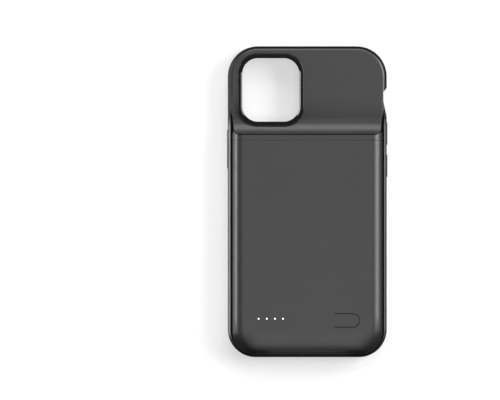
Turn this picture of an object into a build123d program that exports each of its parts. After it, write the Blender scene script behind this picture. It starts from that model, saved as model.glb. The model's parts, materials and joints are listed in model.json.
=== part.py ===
from build123d import *
import os

# Battery charging case lying on its front rim with its rear side up.
# Millimetres: X to the right seen from the rear, Y to the camera end, Z out of the rear side.

# Pocket
pocket_width = 76.0
pocket_length = 151.2
pocket_depth = 8.4
pocket_corner = 12.0

# Bumper frame
side_wall = 3.6
top_wall = 3.0
bottom_block = 8.6
rim_thickness = 1.2
rim_overlap = 1.6
back_wall = 1.9
top_corner = 15.8
bottom_corner = 14.5
back_edge_radius = 3.0
lip_width = 1.3
front_edge_radius = 1.5
mouth_chamfer = 0.4

# Stack between the pocket and the rear face
tray_thickness = 1.0
tray_clearance = 0.05
tray_margin = 0.05
tray_lap = 1.15
pad_thickness = 0.2
cell_thickness = 4.2
foam_thickness = 0.15
cover_wall = 1.35

# Cutters run past the faces they open, and added features root in what carries them
overrun = 1.0
root = 0.2
round_margin = 0.02

# Raised back, ramp and seam
groove_width = 1.16
groove_end_width = 0.2
groove_fade = 4.5
groove_throat = 0.74
throat_from_crest = 2.4
throat_start = 0.4
hump_edge_radius = 5.5
tail_run = 12.2
tail_drop = 1.5
crest_from_top = 46.22
ramp_run = 8.63
shadow_width = 0.5
shadow_depth = 0.85
shadow_drop = 0.27
shadow_corner = 3.8
seam_from_crest = 3.08
seam_gap = 0.12
lip_reach = 1.5
lip_root = 2.6
lip_thickness = 0.9
lip_clearance = 0.08

# Camera ring
ring_width = 34.5
ring_length = 38.6
ring_corner = 10.5
window_width = 29.85
window_length = 33.25
ring_from_side = 22.49
ring_from_top = 22.88
ring_proud = 1.2
ring_clearance = 0.1
spigot_wall = 0.9
ring_edge = 0.45
ring_chamfer_depth = 0.58
ring_chamfer_angle = 50

# Side keys
key_height = 3.2
key_proud = 0.4
key_travel = 0.4
key_clearance = 0.2
key_flange = 0.7
key_flange_edge = 0.8
key_nib = 0.3
key_nib_length = 7.0
side_key_nib_length = 12.0
key_nib_height = 1.6
key_edge = 0.35
volume_key_length = 11.9
volume_up_from_top = 45.78
volume_down_from_top = 62.56
side_key_length = 20.2
side_key_from_top = 53.8

# Mute notch in the right wall
notch_from_top = 21.8
notch_chamfer = 2.2
notch_floor = 4.7
notch_slope = 8.4
notch_depth = 1.8
mute_window_length = 7.4
mute_window_height = 5.4
mute_window_corner = 1.2
mute_window_shift = 0.6

# Dock in the bottom block
dock_half_width = 11.0
dock_shelf = 2.5
dock_outer_wall = 1.5
dock_inner_wall = 1.4
dock_front_wall = 2.2
board_thickness = 1.0
dock_board_thickness = 0.8
dock_gap = 0.2
plug_width = 6.7
plug_thickness = 1.5
plug_reach = 6.7
collar_width = 9.8
collar_height = 4.0
collar_corner = 1.4
plug_tip_edge = 0.4
plug_pad_length = 3.4
plug_pad_width = 0.38
plug_pad_pitch = 0.62
plug_pad_setback = 1.0
pad_plating = 0.05
port_width = 8.9
port_height = 2.9
port_wall = 0.3
port_recess = 0.4
port_clearance = 0.1
port_tongue_width = 6.7
port_tongue_thickness = 0.7
port_tongue_setback = 0.6
port_base_depth = 0.8
port_pad_width = 0.3
port_pad_pitch = 0.75
port_pad_length = 3.3
port_pad_setback = 0.3
sound_slot_length = 5.2
sound_slot_height = 1.8
sound_slot_first = 17.0
sound_slot_pitch = 7.4

# Main board bay
board_standoff = 0.8
board_side_gap = 4.6
board_end_gap = 6.56
board_length = 16.6
screw_diameter = 1.5
screw_head_diameter = 2.8
screw_head_height = 0.7
screw_inset = 3.2
screw_floor = 0.4
screw_tip_gap = 0.2
screw_hole_gap = 0.1
post_diameter = 4.0
board_corner = 2.0

# Pieces on the main board, placed across from its middle and up from its low edge
controller_side = 4.0
controller_height = 0.9
controller_x = -4.0
controller_y = 5.0
driver_side = 3.0
driver_height = 0.8
left_driver_x = -12.0
left_driver_y = 2.6
right_driver_x = 3.5
right_driver_y = 12.6
inductor_side = 6.0
inductor_corner = 1.2
inductor_height = 2.0
inductor_edge = 0.3
inductor_x = 4.5
inductor_y = 6.5
capacitor_length = 1.6
capacitor_width = 1.0
capacitor_height = 0.8
capacitor_pitch = 2.4
capacitor_first_x = -22.0
capacitor_low_row = 2.6
capacitor_high_row = 5.6
reservoir_length = 2.0
reservoir_width = 1.2
reservoir_height = 1.1
reservoir_pitch = 2.2
reservoir_x = -5.0
reservoir_first_y = 9.0

# Flat cable between the two boards
ribbon_width = 4.4
ribbon_thickness = 0.15
ribbon_rise_gap = 0.6
ribbon_slot_gap = 0.4
ribbon_slot_half = 0.6
ribbon_low_land = 1.2
ribbon_high_land = 2.0

# Lamps
lamp_diameter = 0.75
lamp_clearance = 0.05
lamp_pitch = 4.26
lamp_first_from_side = 16.1
lamp_from_bottom = 20.2
guide_thickness = 1.1
guide_width = 3.2
guide_end = 2.2
guide_corner = 1.0
lamp_chip_length = 1.6
lamp_chip_width = 0.8
lamp_chip_height = 0.65

# Push tongue and its switch
tongue_end_from_side = 14.27
tongue_length = 13.03
tongue_slot_height = 6.98
tongue_slot_width = 0.4
tongue_from_bottom = 19.3
hinge_gap = 0.06
hinge_radius = 0.4
hinge_clearance = 0.05
hinge_below_face = 0.65
tongue_arm = 9.2
boss_diameter = 2.4
switch_body = 4.2
switch_height = 1.5
plunger_diameter = 1.8
plunger_show = 0.4
plunger_seat = 0.5
plunger_clearance = 0.05
press_gap = 0.1
switch_travel = 0.3
switch_spare = 0.2
switch_corner = 0.5
switch_leg_length = 0.8
switch_leg_width = 2.0
switch_leg_thickness = 0.3
plunger_edge = 0.15

# Cell
cell_side_gap = 3.8
cell_end_gap = 0.25
cell_corner = 2.0
cell_edge_radius = 1.0
protection_width = 3.2
protection_length = 32.0
bay_gap = 0.6
lead_diameter = 1.1
lead_spread = 5.0
lead_board_land = 2.2
lead_cell_land = 1.1
tab_spread = 9.0
tab_width = 4.0
tab_thickness = 0.15
tab_setback = 1.2
pad_from_end = 14.0
pad_length = 14.0
pad_side_inset = 6.0
foam_side_inset = 8.5
foam_end_inset = 10.0
foam_corner = 3.0
shelf_width = 4.0
rail_gap = 0.3
rail_thickness = 1.0
rail_length = 12.0
rail_height = 1.6
rail_from_end = 15.0

# Levels and stations that follow from the sizes above
half_width = pocket_width / 2 + side_wall
case_length = pocket_length + top_wall + bottom_block
top_y = case_length / 2
bottom_y = -case_length / 2
pocket_top_y = top_y - top_wall
pocket_bottom_y = bottom_y + bottom_block
floor_z = rim_thickness + pocket_depth
mid_z = rim_thickness + pocket_depth / 2
back_z = floor_z + back_wall
tray_z = floor_z + tray_thickness
cell_z = tray_z + pad_thickness
ceiling_z = cell_z + cell_thickness + foam_thickness
hump_z = ceiling_z + cover_wall
crest_y = top_y - crest_from_top
ramp_y = crest_y + ramp_run
seam_y = crest_y - seam_from_crest
cover_end_y = seam_y - seam_gap / 2
bridge_y = seam_y + seam_gap / 2
rise = hump_z - back_z
ramp_radius = (ramp_run ** 2 + rise ** 2) / (2 * rise)
tray_end_y = bridge_y + tray_lap
hump_inset = lip_width + groove_width
hump_half = half_width - hump_inset
hump_low_y = bottom_y + lip_width + groove_end_width
tail_y = hump_low_y + tail_run
tail_radius = (tail_run ** 2 + tail_drop ** 2) / (2 * tail_drop)

board_z = tray_z + board_standoff
board_top = board_z + board_thickness
board_half = hump_half - cover_wall - board_side_gap
board_low_y = hump_low_y + cover_wall + board_end_gap
board_high_y = board_low_y + board_length
protection_low_y = board_high_y + bay_gap
cell_low_y = protection_low_y + protection_width + bay_gap
cell_high_y = cover_end_y - lip_root - cell_end_gap
cell_half = hump_half - cover_wall - cell_side_gap

dock_low_y = bottom_y + dock_outer_wall
dock_high_y = pocket_bottom_y - dock_inner_wall
dock_board_z = mid_z - dock_board_thickness / 2
dock_board_top = mid_z + dock_board_thickness / 2
dock_board_high_y = dock_high_y - dock_gap
port_low_y = bottom_y + port_recess
port_high_y = dock_board_high_y
port_z = dock_board_top + port_height / 2
tongue_y = bottom_y + tongue_from_bottom
tongue_end_x = half_width - tongue_end_from_side
tongue_root_x = tongue_end_x - tongue_length
tongue_half = tongue_slot_height / 2 - tongue_slot_width / 2
hinge_z = hump_z - hinge_below_face
lamp_y = bottom_y + lamp_from_bottom
lamp_xs = [lamp_first_from_side - half_width + i * lamp_pitch for i in range(4)]
switch_x = tongue_root_x + tongue_arm
switch_top = board_top + switch_height
ring_x = ring_from_side - half_width
ring_y = top_y - ring_from_top
ribbon_x = (port_width / 2 + dock_half_width) / 2
ribbon_half = ribbon_width / 2
ribbon_rise_y = dock_board_high_y - ribbon_rise_gap


def block(x_min, x_max, y_min, y_max, z_min, z_max):
    centre = Pos((x_min + x_max) / 2, (y_min + y_max) / 2, (z_min + z_max) / 2)
    return centre * Box(x_max - x_min, y_max - y_min, z_max - z_min)


def plate(outline, x, y, z_min, z_max):
    return Pos(x, y, z_min) * extrude(outline, z_max - z_min)


def along_x(outline, x_min, x_max):
    return extrude(Plane.YZ.offset(x_min) * outline, x_max - x_min)


def along_y(outline, y_min, y_max):
    return extrude(Plane.XZ.offset(-y_max) * outline, y_max - y_min)


def post(x, y, diameter, z_min, z_max):
    return Pos(x, y, (z_min + z_max) / 2) * Cylinder(diameter / 2, z_max - z_min)


def case_outline(inset):
    plan = Rectangle(2 * (half_width - inset), case_length - 2 * inset)
    plan = fillet(plan.vertices().group_by(Axis.Y)[0], bottom_corner - inset)
    return fillet(plan.vertices().group_by(Axis.Y)[-1], top_corner - inset)


def hump_plan(inset, y_max):
    # plan of the raised back from its bottom end to y_max
    half = hump_half - inset
    low = hump_low_y + inset
    plan = Pos(0, (low + y_max) / 2) * Rectangle(2 * half, y_max - low)
    return fillet(plan.vertices().group_by(Axis.Y)[0], bottom_corner - hump_inset - inset)


def hump_run(inset, y_min, y_max, z_min):
    # straight length of the raised back's cross-section
    half = hump_half - inset
    top = hump_z - inset
    section = Pos(0, (z_min + top) / 2) * Rectangle(2 * half, top - z_min)
    section = fillet(section.vertices().group_by(Axis.Y)[-1], hump_edge_radius - inset)
    return along_y(section, y_min, y_max)


def hump_block(inset, y_max):
    # raised back from its bottom end to y_max, the tail curving down to the bottom end
    half = hump_half - inset
    low = hump_low_y + inset
    top = hump_z - inset
    body = plate(hump_plan(inset, y_max), 0, 0, floor_z, top)
    axis_z = hump_z - tail_radius
    drum = along_x(Pos(tail_y, axis_z) * Circle(tail_radius - inset), -half - overrun, half + overrun)
    reach = half + overrun
    body -= block(-reach, reach, low - overrun, tail_y, axis_z, top + overrun) - drum
    edges = []
    for edge in body.edges():
        box = edge.bounding_box()
        across = box.size.Y < 0.01 and box.size.X > half
        if box.min.Z < top - 2 * tail_drop:
            continue
        if across and box.min.Y > low + 0.01:
            continue
        edges.append(edge)
    return fillet(edges, hump_edge_radius - inset)


def ramp_space(wall):
    # room above the ramp, grown by wall towards the raised back
    centre_z = back_z + ramp_radius
    reach = half_width + overrun
    drum = along_x(Pos(ramp_y, centre_z) * Circle(ramp_radius + wall), -reach, reach)
    return drum + block(-reach, reach, ramp_y, top_y, back_z - wall, hump_z + overrun)


def stadium_along_x(length, height, x_min, x_max, y, z):
    return along_x(Pos(y, z) * SlotOverall(length, height), x_min, x_max)


def notch_cutter():
    high = top_y - notch_from_top
    inner = half_width - notch_depth
    outer = half_width + overrun
    floor_high = high - notch_chamfer
    floor_low = floor_high - notch_floor
    low = floor_low - notch_slope
    over_high = overrun * notch_chamfer / notch_depth
    over_low = overrun * notch_slope / notch_depth
    outline = Polygon(
        (outer, high + over_high),
        (inner, floor_high),
        (inner, floor_low),
        (outer, low - over_low),
        align=None,
    )
    window_y = (floor_high + floor_low) / 2 - mute_window_shift
    opening = RectangleRounded(mute_window_length, mute_window_height, mute_window_corner)
    window = along_x(Pos(window_y, mid_z) * opening, pocket_width / 2 - overrun, half_width)
    return plate(outline, 0, 0, -overrun, back_z + overrun) + window


def key_room(side, length, y):
    # stepped slot through a side wall for one key
    inner = pocket_width / 2
    step = inner + key_flange + 2 * key_clearance + key_travel
    stem = (length + 2 * key_clearance, key_height + 2 * key_clearance)
    head = (stem[0] + 2 * key_flange_edge, stem[1] + 2 * key_flange_edge)
    room = stadium_along_x(stem[0], stem[1], inner - overrun, half_width + overrun, y, mid_z)
    room += stadium_along_x(head[0], head[1], inner - overrun, step, y, mid_z)
    if side < 0:
        return mirror(room, about=Plane.YZ)
    return room


def make_key(side, length, nib_length, y):
    # flanged key: cap proud of the wall, flange held behind the slot
    inner = pocket_width / 2
    step = inner + key_flange + 2 * key_clearance + key_travel
    face = half_width + key_proud
    cap = stadium_along_x(length, key_height, step - key_clearance - key_flange / 2, face, y, mid_z)
    cap = fillet(cap.faces().sort_by(Axis.X)[-1].edges(), key_edge)
    head = (length + 2 * key_flange_edge, key_height + 2 * key_flange_edge)
    base = step - key_clearance
    cap += stadium_along_x(head[0], head[1], base - key_flange, base, y, mid_z)
    tip = base - key_flange - key_nib
    cap += stadium_along_x(nib_length, key_nib_height, tip, base - key_flange / 2, y, mid_z)
    if side < 0:
        return mirror(cap, about=Plane.YZ)
    return cap


def dock_room():
    # hollow of the bottom block with its openings
    floor = dock_front_wall
    step = dock_half_width - dock_shelf
    room = block(-step, step, dock_low_y, dock_high_y, floor, floor_z + overrun)
    half = dock_half_width
    room += block(-half, half, dock_low_y, dock_high_y, dock_board_z, floor_z + overrun)
    collar = Pos(0, mid_z) * RectangleRounded(collar_width, collar_height, collar_corner)
    room += along_y(collar, dock_high_y - root, pocket_bottom_y + overrun)
    width = port_width + 2 * port_clearance
    height = port_height + 2 * port_clearance
    port = Pos(0, port_z) * RectangleRounded(width, height, height / 2 - round_margin)
    room += along_y(port, bottom_y - overrun, dock_low_y + root)
    for side in (-1, 1):
        for index in range(2):
            x = side * (sound_slot_first + index * sound_slot_pitch)
            slot = Pos(x, mid_z) * SlotOverall(sound_slot_length, sound_slot_height)
            room += along_y(slot, bottom_y - overrun, pocket_bottom_y + overrun)
    return room


def ring_outline(grow):
    return RectangleRounded(ring_width + 2 * grow, ring_length + 2 * grow, ring_corner + grow)


def ring_spigot():
    width = window_width + 2 * spigot_wall
    length = window_length + 2 * spigot_wall
    return RectangleRounded(width, length, ring_corner - (ring_width - width) / 2)


def shadow_outline(inset):
    # plan of the ramp's panel, round at its two lower corners and open at its far end
    half = hump_half - inset
    low = crest_y - shadow_drop + inset
    high = ramp_y + overrun
    plan = Pos(0, (low + high) / 2) * Rectangle(2 * half, high - low)
    return fillet(plan.vertices().group_by(Axis.Y)[0], shadow_corner - inset)


def make_bridge():
    # end of the raised back with the ramp down to the upper back, and a shadow line round the ramp's foot
    bridge = hump_run(0, bridge_y, ramp_y, floor_z) - ramp_space(0)
    skin = bridge - Pos(0, 0, -shadow_depth) * bridge
    band = shadow_outline(0) - shadow_outline(shadow_width)
    return bridge - (skin & plate(band, 0, 0, floor_z, hump_z + overrun))


def mouth_cutter():
    # front opening inside the rim, flared at the front edge
    width = pocket_width - 2 * rim_overlap
    length = pocket_length - 2 * rim_overlap
    corner = pocket_corner - rim_overlap
    grow = 2 * mouth_chamfer
    flare = RectangleRounded(width + grow, length + grow, corner + mouth_chamfer)
    cutter = plate(RectangleRounded(width, length, corner), 0, 0, -overrun, rim_thickness + overrun)
    cutter += extrude(flare, mouth_chamfer, taper=45)
    return Pos(0, (pocket_top_y + pocket_bottom_y) / 2, 0) * cutter


def make_slab():
    # outside of the case below the raised back
    slab = plate(case_outline(0), 0, 0, 0, back_z)
    slab = fillet(slab.edges().group_by(Axis.Z)[0], front_edge_radius)
    return fillet(slab.edges().group_by(Axis.Z)[-1], back_edge_radius)


def make_bumper_frame():
    pocket = RectangleRounded(pocket_width, pocket_length, pocket_corner)
    frame = make_slab() - plate(pocket, 0, (pocket_top_y + pocket_bottom_y) / 2, rim_thickness, floor_z)
    frame -= mouth_cutter()
    frame -= plate(case_outline(lip_width), 0, 0, floor_z, hump_z)
    frame -= notch_cutter()
    frame -= key_room(1, volume_key_length, top_y - volume_up_from_top)
    frame -= key_room(1, volume_key_length, top_y - volume_down_from_top)
    frame -= key_room(-1, side_key_length, top_y - side_key_from_top)
    return frame - dock_room()


def side_groove():
    # room beside the ramp, widest near the crest, which narrows to nothing at the lip
    lip = half_width - lip_width
    low = bridge_y - overrun
    high = ramp_y + groove_fade
    outline = Polygon(
        (hump_half, low),
        (half_width, low),
        (half_width, high),
        (lip, high),
        (hump_half, ramp_y),
        (hump_half - groove_throat, crest_y + throat_from_crest),
        (hump_half, crest_y + throat_start),
        align=None,
    )
    groove = plate(outline, 0, 0, floor_z - overrun, hump_z + overrun)
    return groove + mirror(groove, about=Plane.YZ)


def make_upper_back():
    # back plate inside the bumper's lip, with the ramp and the end of the raised back
    inset = lip_width + tray_clearance
    back = make_slab() & plate(case_outline(inset), 0, 0, floor_z, back_z)
    back &= block(-half_width, half_width, bridge_y, top_y, floor_z, back_z)
    back += make_bridge()
    back -= plate(hump_plan(-tray_margin - tray_clearance, tray_end_y), 0, 0, floor_z, tray_z)
    hollow_end = crest_y + ramp_run / 3
    back -= hump_run(cover_wall, bridge_y - overrun, hollow_end, tray_z) - ramp_space(cover_wall)
    back -= plate(ring_outline(ring_clearance), ring_x, ring_y, back_z, hump_z + overrun)
    back -= plate(ring_spigot(), ring_x, ring_y, floor_z - overrun, back_z + overrun)
    return back - side_groove() - notch_cutter()


def tongue_outline(grow):
    # plan of the push tongue, square at its root and round at its free end
    half = tongue_half + grow
    end = tongue_end_x - tongue_slot_height / 2
    outline = Pos((tongue_root_x + end) / 2, tongue_y) * Rectangle(end - tongue_root_x, 2 * half)
    return outline + Pos(end, tongue_y) * Circle(half)


def make_rear_cover():
    cover = hump_block(0, cover_end_y) - hump_block(cover_wall, seam_y + lip_reach)
    cover -= block(-half_width, half_width, bottom_y, top_y, floor_z - overrun, tray_z)
    inner = cover_wall + lip_clearance + lip_thickness
    root_y = cover_end_y - lip_root
    lip = hump_run(cover_wall / 2, root_y, cover_end_y, tray_z)
    lip += hump_run(cover_wall + lip_clearance, root_y, seam_y + lip_reach, tray_z)
    end_y = seam_y + lip_reach + overrun
    cover += lip - hump_run(inner, root_y - overrun, end_y, tray_z - overrun)
    low = ceiling_z - overrun
    high = hump_z + overrun
    cover -= plate(tongue_outline(tongue_slot_width), 0, 0, low, high)
    cover -= hinge_roll(hinge_clearance)
    for x in lamp_xs:
        cover -= post(x, lamp_y, lamp_diameter + 2 * lamp_clearance, low, high)
    return cover


def hinge_roll(grow):
    # round nose along the tongue's root line, grown for its seat
    roll = Pos(tongue_root_x, hinge_z) * Circle(hinge_radius + grow)
    return along_y(roll, tongue_y - tongue_half - grow, tongue_y + tongue_half + grow)


def make_power_button():
    tongue = plate(tongue_outline(0), 0, 0, ceiling_z, hump_z)
    edge = tongue_root_x + hinge_gap
    tongue &= block(edge, half_width, tongue_y - tongue_half, tongue_y + tongue_half, ceiling_z, hump_z)
    low = switch_top + plunger_show + press_gap
    tongue += post(switch_x, tongue_y, boss_diameter, low, ceiling_z + cover_wall / 2)
    return tongue + hinge_roll(0)


def make_inner_tray():
    tray = plate(hump_plan(-tray_margin, tray_end_y - 2 * tray_clearance), 0, 0, floor_z, tray_z)
    half = ribbon_half + ribbon_slot_gap
    low = ribbon_rise_y - ribbon_slot_half
    high = ribbon_rise_y + ribbon_slot_half
    tray -= block(ribbon_x - half, ribbon_x + half, low, high, floor_z - overrun, tray_z + overrun)
    for x, y in screw_spots():
        tray += post(x, y, post_diameter, tray_z - root, board_z)
        tray -= post(x, y, screw_diameter, floor_z + screw_floor, board_z + overrun)
    for side in (-1, 1):
        outer = side * protection_length / 2
        inner = outer - side * shelf_width
        high = protection_low_y + protection_width
        tray += block(min(outer, inner), max(outer, inner), protection_low_y, high, tray_z - root, board_z)
    for side in (-1, 1):
        x = side * (cell_half + rail_gap + rail_thickness / 2)
        half = rail_thickness / 2
        for y in (cell_low_y + rail_from_end, cell_high_y - rail_from_end):
            low = y - rail_length / 2
            high = y + rail_length / 2
            tray += block(x - half, x + half, low, high, tray_z - root, tray_z + rail_height)
    return tray


def screw_spots():
    edge = board_half - screw_inset
    return [
        (-edge, board_low_y + screw_inset),
        (edge, board_low_y + screw_inset),
        (-edge, board_high_y - screw_inset),
        (edge, board_high_y - screw_inset),
    ]


def make_camera_ring():
    top = back_z + ring_proud
    flange = plate(ring_outline(0), 0, 0, back_z, top)
    flange = fillet(flange.edges().group_by(Axis.Z)[-1], ring_edge)
    ring = flange + plate(ring_spigot(), 0, 0, floor_z, back_z + root)
    corner = ring_corner - (ring_width - window_width) / 2
    window = RectangleRounded(window_width, window_length, corner)
    ring -= plate(window, 0, 0, floor_z - overrun, top + overrun)
    funnel = extrude(window, ring_chamfer_depth, taper=-ring_chamfer_angle)
    ring -= Pos(0, 0, top - ring_chamfer_depth) * funnel
    return Pos(ring_x, ring_y, 0) * ring


def make_battery_cell():
    outline = RectangleRounded(2 * cell_half, cell_high_y - cell_low_y, cell_corner)
    cell = plate(outline, 0, 0, 0, cell_thickness)
    cell = fillet(cell.edges().group_by(Axis.Z)[-1], cell_edge_radius)
    cell = fillet(cell.edges().group_by(Axis.Z)[0], cell_edge_radius)
    return Pos(0, (cell_low_y + cell_high_y) / 2, cell_z) * cell


def make_cell_adhesive_pads():
    pads = []
    reach = cell_half - pad_side_inset
    half = pad_length / 2
    for y in (cell_low_y + pad_from_end, cell_high_y - pad_from_end):
        pads.append(block(-reach, reach, y - half, y + half, tray_z, cell_z))
    return Compound(children=pads)


def make_cell_foam_pad():
    low = ceiling_z - foam_thickness
    width = 2 * (cell_half - foam_side_inset)
    length = cell_high_y - cell_low_y - 2 * foam_end_inset
    outline = RectangleRounded(width, length, foam_corner)
    return plate(outline, 0, (cell_low_y + cell_high_y) / 2, low, ceiling_z)


def make_cell_protection_board():
    half = protection_length / 2
    high = protection_low_y + protection_width
    return block(-half, half, protection_low_y, high, board_z, board_top)


def make_cell_tabs():
    tabs = []
    half = tab_width / 2
    low = protection_low_y + tab_setback
    for x in (-tab_spread, tab_spread):
        tabs.append(block(x - half, x + half, low, cell_low_y, board_top, board_top + tab_thickness))
    return Compound(children=tabs)


def make_lead(x):
    radius = lead_diameter / 2
    low = board_high_y - lead_board_land
    high = protection_low_y + lead_cell_land
    return along_y(Pos(x, board_top + radius) * Circle(radius), low, high)


def make_main_board():
    centre = (board_low_y + board_high_y) / 2
    board = plate(RectangleRounded(2 * board_half, board_length, board_corner), 0, centre, board_z, board_top)
    for x, y in screw_spots():
        board -= post(x, y, screw_diameter + 2 * screw_hole_gap, board_z - overrun, board_top + overrun)
    return board


def make_board_screws():
    screws = []
    tip = floor_z + screw_floor + screw_tip_gap
    for x, y in screw_spots():
        head = post(x, y, screw_head_diameter, board_top, board_top + screw_head_height)
        screws.append(head + post(x, y, screw_diameter, tip, board_top + root))
    return Compound(children=screws)


def on_board(x, y, length, width, height):
    # block standing on the main board, y up from the board's low edge
    y += board_low_y
    half = (length / 2, width / 2)
    return block(x - half[0], x + half[0], y - half[1], y + half[1], board_top, board_top + height)


def make_board_chips():
    chips = [on_board(controller_x, controller_y, controller_side, controller_side, controller_height)]
    for x, y in ((left_driver_x, left_driver_y), (right_driver_x, right_driver_y)):
        chips.append(on_board(x, y, driver_side, driver_side, driver_height))
    return Compound(children=chips)


def make_power_inductor():
    outline = RectangleRounded(inductor_side, inductor_side, inductor_corner)
    body = plate(outline, inductor_x, board_low_y + inductor_y, board_top, board_top + inductor_height)
    return chamfer(body.edges().group_by(Axis.Z)[-1], inductor_edge)


def make_board_capacitors():
    parts = []
    for index in range(5):
        x = capacitor_first_x + index * capacitor_pitch
        y = capacitor_low_row if index < 3 else capacitor_high_row
        parts.append(on_board(x, y, capacitor_length, capacitor_width, capacitor_height))
    for index in range(3):
        y = reservoir_first_y + index * reservoir_pitch
        parts.append(on_board(reservoir_x, y, reservoir_length, reservoir_width, reservoir_height))
    return Compound(children=parts)


def make_indicator_leds():
    lamps = []
    y = lamp_y - board_low_y
    for x in lamp_xs:
        lamps.append(on_board(x, y, lamp_chip_length, lamp_chip_width, lamp_chip_height))
    return Compound(children=lamps)


def make_light_guide():
    low = ceiling_z - guide_thickness
    centre = (lamp_xs[0] + lamp_xs[-1]) / 2
    length = lamp_xs[-1] - lamp_xs[0] + 2 * guide_end
    guide = plate(RectangleRounded(length, guide_width, guide_corner), centre, lamp_y, low, ceiling_z)
    for x in lamp_xs:
        guide += post(x, lamp_y, lamp_diameter, ceiling_z - root, hump_z)
    return guide


def make_power_switch():
    half = switch_body / 2
    leg = switch_leg_width / 2
    outline = RectangleRounded(switch_body, switch_body, switch_corner)
    body = plate(outline, switch_x, tongue_y, board_top, switch_top)
    foot = board_top + switch_leg_thickness
    reach = half + switch_leg_length
    body += block(switch_x - reach, switch_x + reach, tongue_y - leg, tongue_y + leg, board_top, foot)
    bore = switch_top - plunger_seat - switch_travel - switch_spare
    diameter = plunger_diameter + 2 * plunger_clearance
    return body - post(switch_x, tongue_y, diameter, bore, switch_top + overrun)


def make_switch_plunger():
    low = switch_top - plunger_seat
    plunger = post(switch_x, tongue_y, plunger_diameter, low, switch_top + plunger_show)
    return chamfer(plunger.edges().group_by(Axis.Z)[-1], plunger_edge)


def make_dock_board():
    half = dock_half_width - dock_gap
    return block(-half, half, dock_low_y + dock_gap, dock_board_high_y, dock_board_z, dock_board_top)


def make_plug_collar():
    outline = Pos(0, mid_z) * RectangleRounded(collar_width, collar_height, collar_corner)
    collar = along_y(outline, dock_high_y, pocket_bottom_y)
    return collar - along_y(plug_section(), dock_high_y - overrun, pocket_bottom_y + overrun)


def plug_section():
    return Pos(0, mid_z) * RectangleRounded(plug_width, plug_thickness, plug_thickness / 2 - round_margin)


def make_plug_blade():
    blade = along_y(plug_section(), dock_board_high_y, pocket_bottom_y + plug_reach)
    return fillet(blade.faces().sort_by(Axis.Y)[-1].edges(), plug_tip_edge)


def make_plug_contacts():
    pads = []
    tip = pocket_bottom_y + plug_reach - plug_pad_setback
    half = plug_pad_width / 2
    for side in (-1, 1):
        level = mid_z + side * plug_thickness / 2
        low = min(level, level + side * pad_plating)
        for index in range(8):
            x = (index - 3.5) * plug_pad_pitch
            pads.append(block(x - half, x + half, tip - plug_pad_length, tip, low, low + pad_plating))
    return Compound(children=pads)


def make_port_shell():
    outer = Pos(0, port_z) * RectangleRounded(port_width, port_height, port_height / 2 - round_margin)
    width = port_width - 2 * port_wall
    height = port_height - 2 * port_wall
    inner = Pos(0, port_z) * RectangleRounded(width, height, height / 2 - round_margin)
    shell = along_y(outer, port_low_y, port_high_y)
    return shell - along_y(inner, port_low_y - overrun, port_high_y - port_wall)


def make_port_tongue():
    half = port_tongue_width / 2
    thick = port_tongue_thickness / 2
    back = port_high_y - port_wall
    width = port_width - 2 * port_wall
    height = port_height - 2 * port_wall
    base = Pos(0, port_z) * RectangleRounded(width, height, height / 2 - round_margin)
    tip = port_low_y + port_tongue_setback
    tongue = along_y(base, back - port_base_depth, back)
    return tongue + block(-half, half, tip, back - port_base_depth / 2, port_z - thick, port_z + thick)


def make_port_contacts():
    pads = []
    half = port_pad_width / 2
    tip = port_low_y + port_tongue_setback + port_pad_setback
    for side in (-1, 1):
        level = port_z + side * port_tongue_thickness / 2
        low = min(level, level + side * pad_plating)
        for index in range(8):
            x = (index - 3.5) * port_pad_pitch
            pads.append(block(x - half, x + half, tip, tip + port_pad_length, low, low + pad_plating))
    return Compound(children=pads)


def ribbon_run(y_min, y_max, z_min, z_max):
    return block(ribbon_x - ribbon_half, ribbon_x + ribbon_half, y_min, y_max, z_min, z_max)


def make_dock_ribbon():
    # flat cable from the dock board up through the tray onto the main board
    back_y = ribbon_rise_y - ribbon_thickness
    top = board_top + ribbon_thickness
    ribbon = ribbon_run(back_y, ribbon_rise_y, dock_board_top, top)
    low = dock_low_y + ribbon_low_land
    ribbon += ribbon_run(low, ribbon_rise_y, dock_board_top, dock_board_top + ribbon_thickness)
    return ribbon + ribbon_run(back_y, board_low_y + ribbon_high_land, board_top, top)


def make_parts():
    return {
        "bumper_frame": make_bumper_frame(),
        "upper_back": make_upper_back(),
        "rear_cover": make_rear_cover(),
        "inner_tray": make_inner_tray(),
        "camera_ring": make_camera_ring(),
        "battery_cell": make_battery_cell(),
        "cell_protection_board": make_cell_protection_board(),
        "cell_tabs": make_cell_tabs(),
        "cell_adhesive_pads": make_cell_adhesive_pads(),
        "cell_foam_pad": make_cell_foam_pad(),
        "main_board": make_main_board(),
        "board_chips": make_board_chips(),
        "power_inductor": make_power_inductor(),
        "board_capacitors": make_board_capacitors(),
        "indicator_leds": make_indicator_leds(),
        "light_guide": make_light_guide(),
        "board_screws": make_board_screws(),
        "power_button": make_power_button(),
        "power_switch": make_power_switch(),
        "switch_plunger": make_switch_plunger(),
        "dock_board": make_dock_board(),
        "plug_collar": make_plug_collar(),
        "plug_blade": make_plug_blade(),
        "plug_contacts": make_plug_contacts(),
        "port_shell": make_port_shell(),
        "port_tongue": make_port_tongue(),
        "port_contacts": make_port_contacts(),
        "dock_ribbon": make_dock_ribbon(),
        "volume_up_key": make_key(1, volume_key_length, key_nib_length, top_y - volume_up_from_top),
        "volume_down_key": make_key(1, volume_key_length, key_nib_length, top_y - volume_down_from_top),
        "side_key": make_key(-1, side_key_length, side_key_nib_length, top_y - side_key_from_top),
        "lead_positive": make_lead(-lead_spread),
        "lead_negative": make_lead(lead_spread),
    }


os.makedirs("parts", exist_ok=True)
for name, shape in make_parts().items():
    export_step(shape, f"parts/{name}.step")
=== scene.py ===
"""Looks of a battery charging case: finishes, added pieces, studio light and camera.

The case lies on its front rim with its rear side up. Lengths are metres, X runs to the right seen
from the rear, Y to the camera end and Z out of the rear side.
"""

from __future__ import annotations

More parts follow.
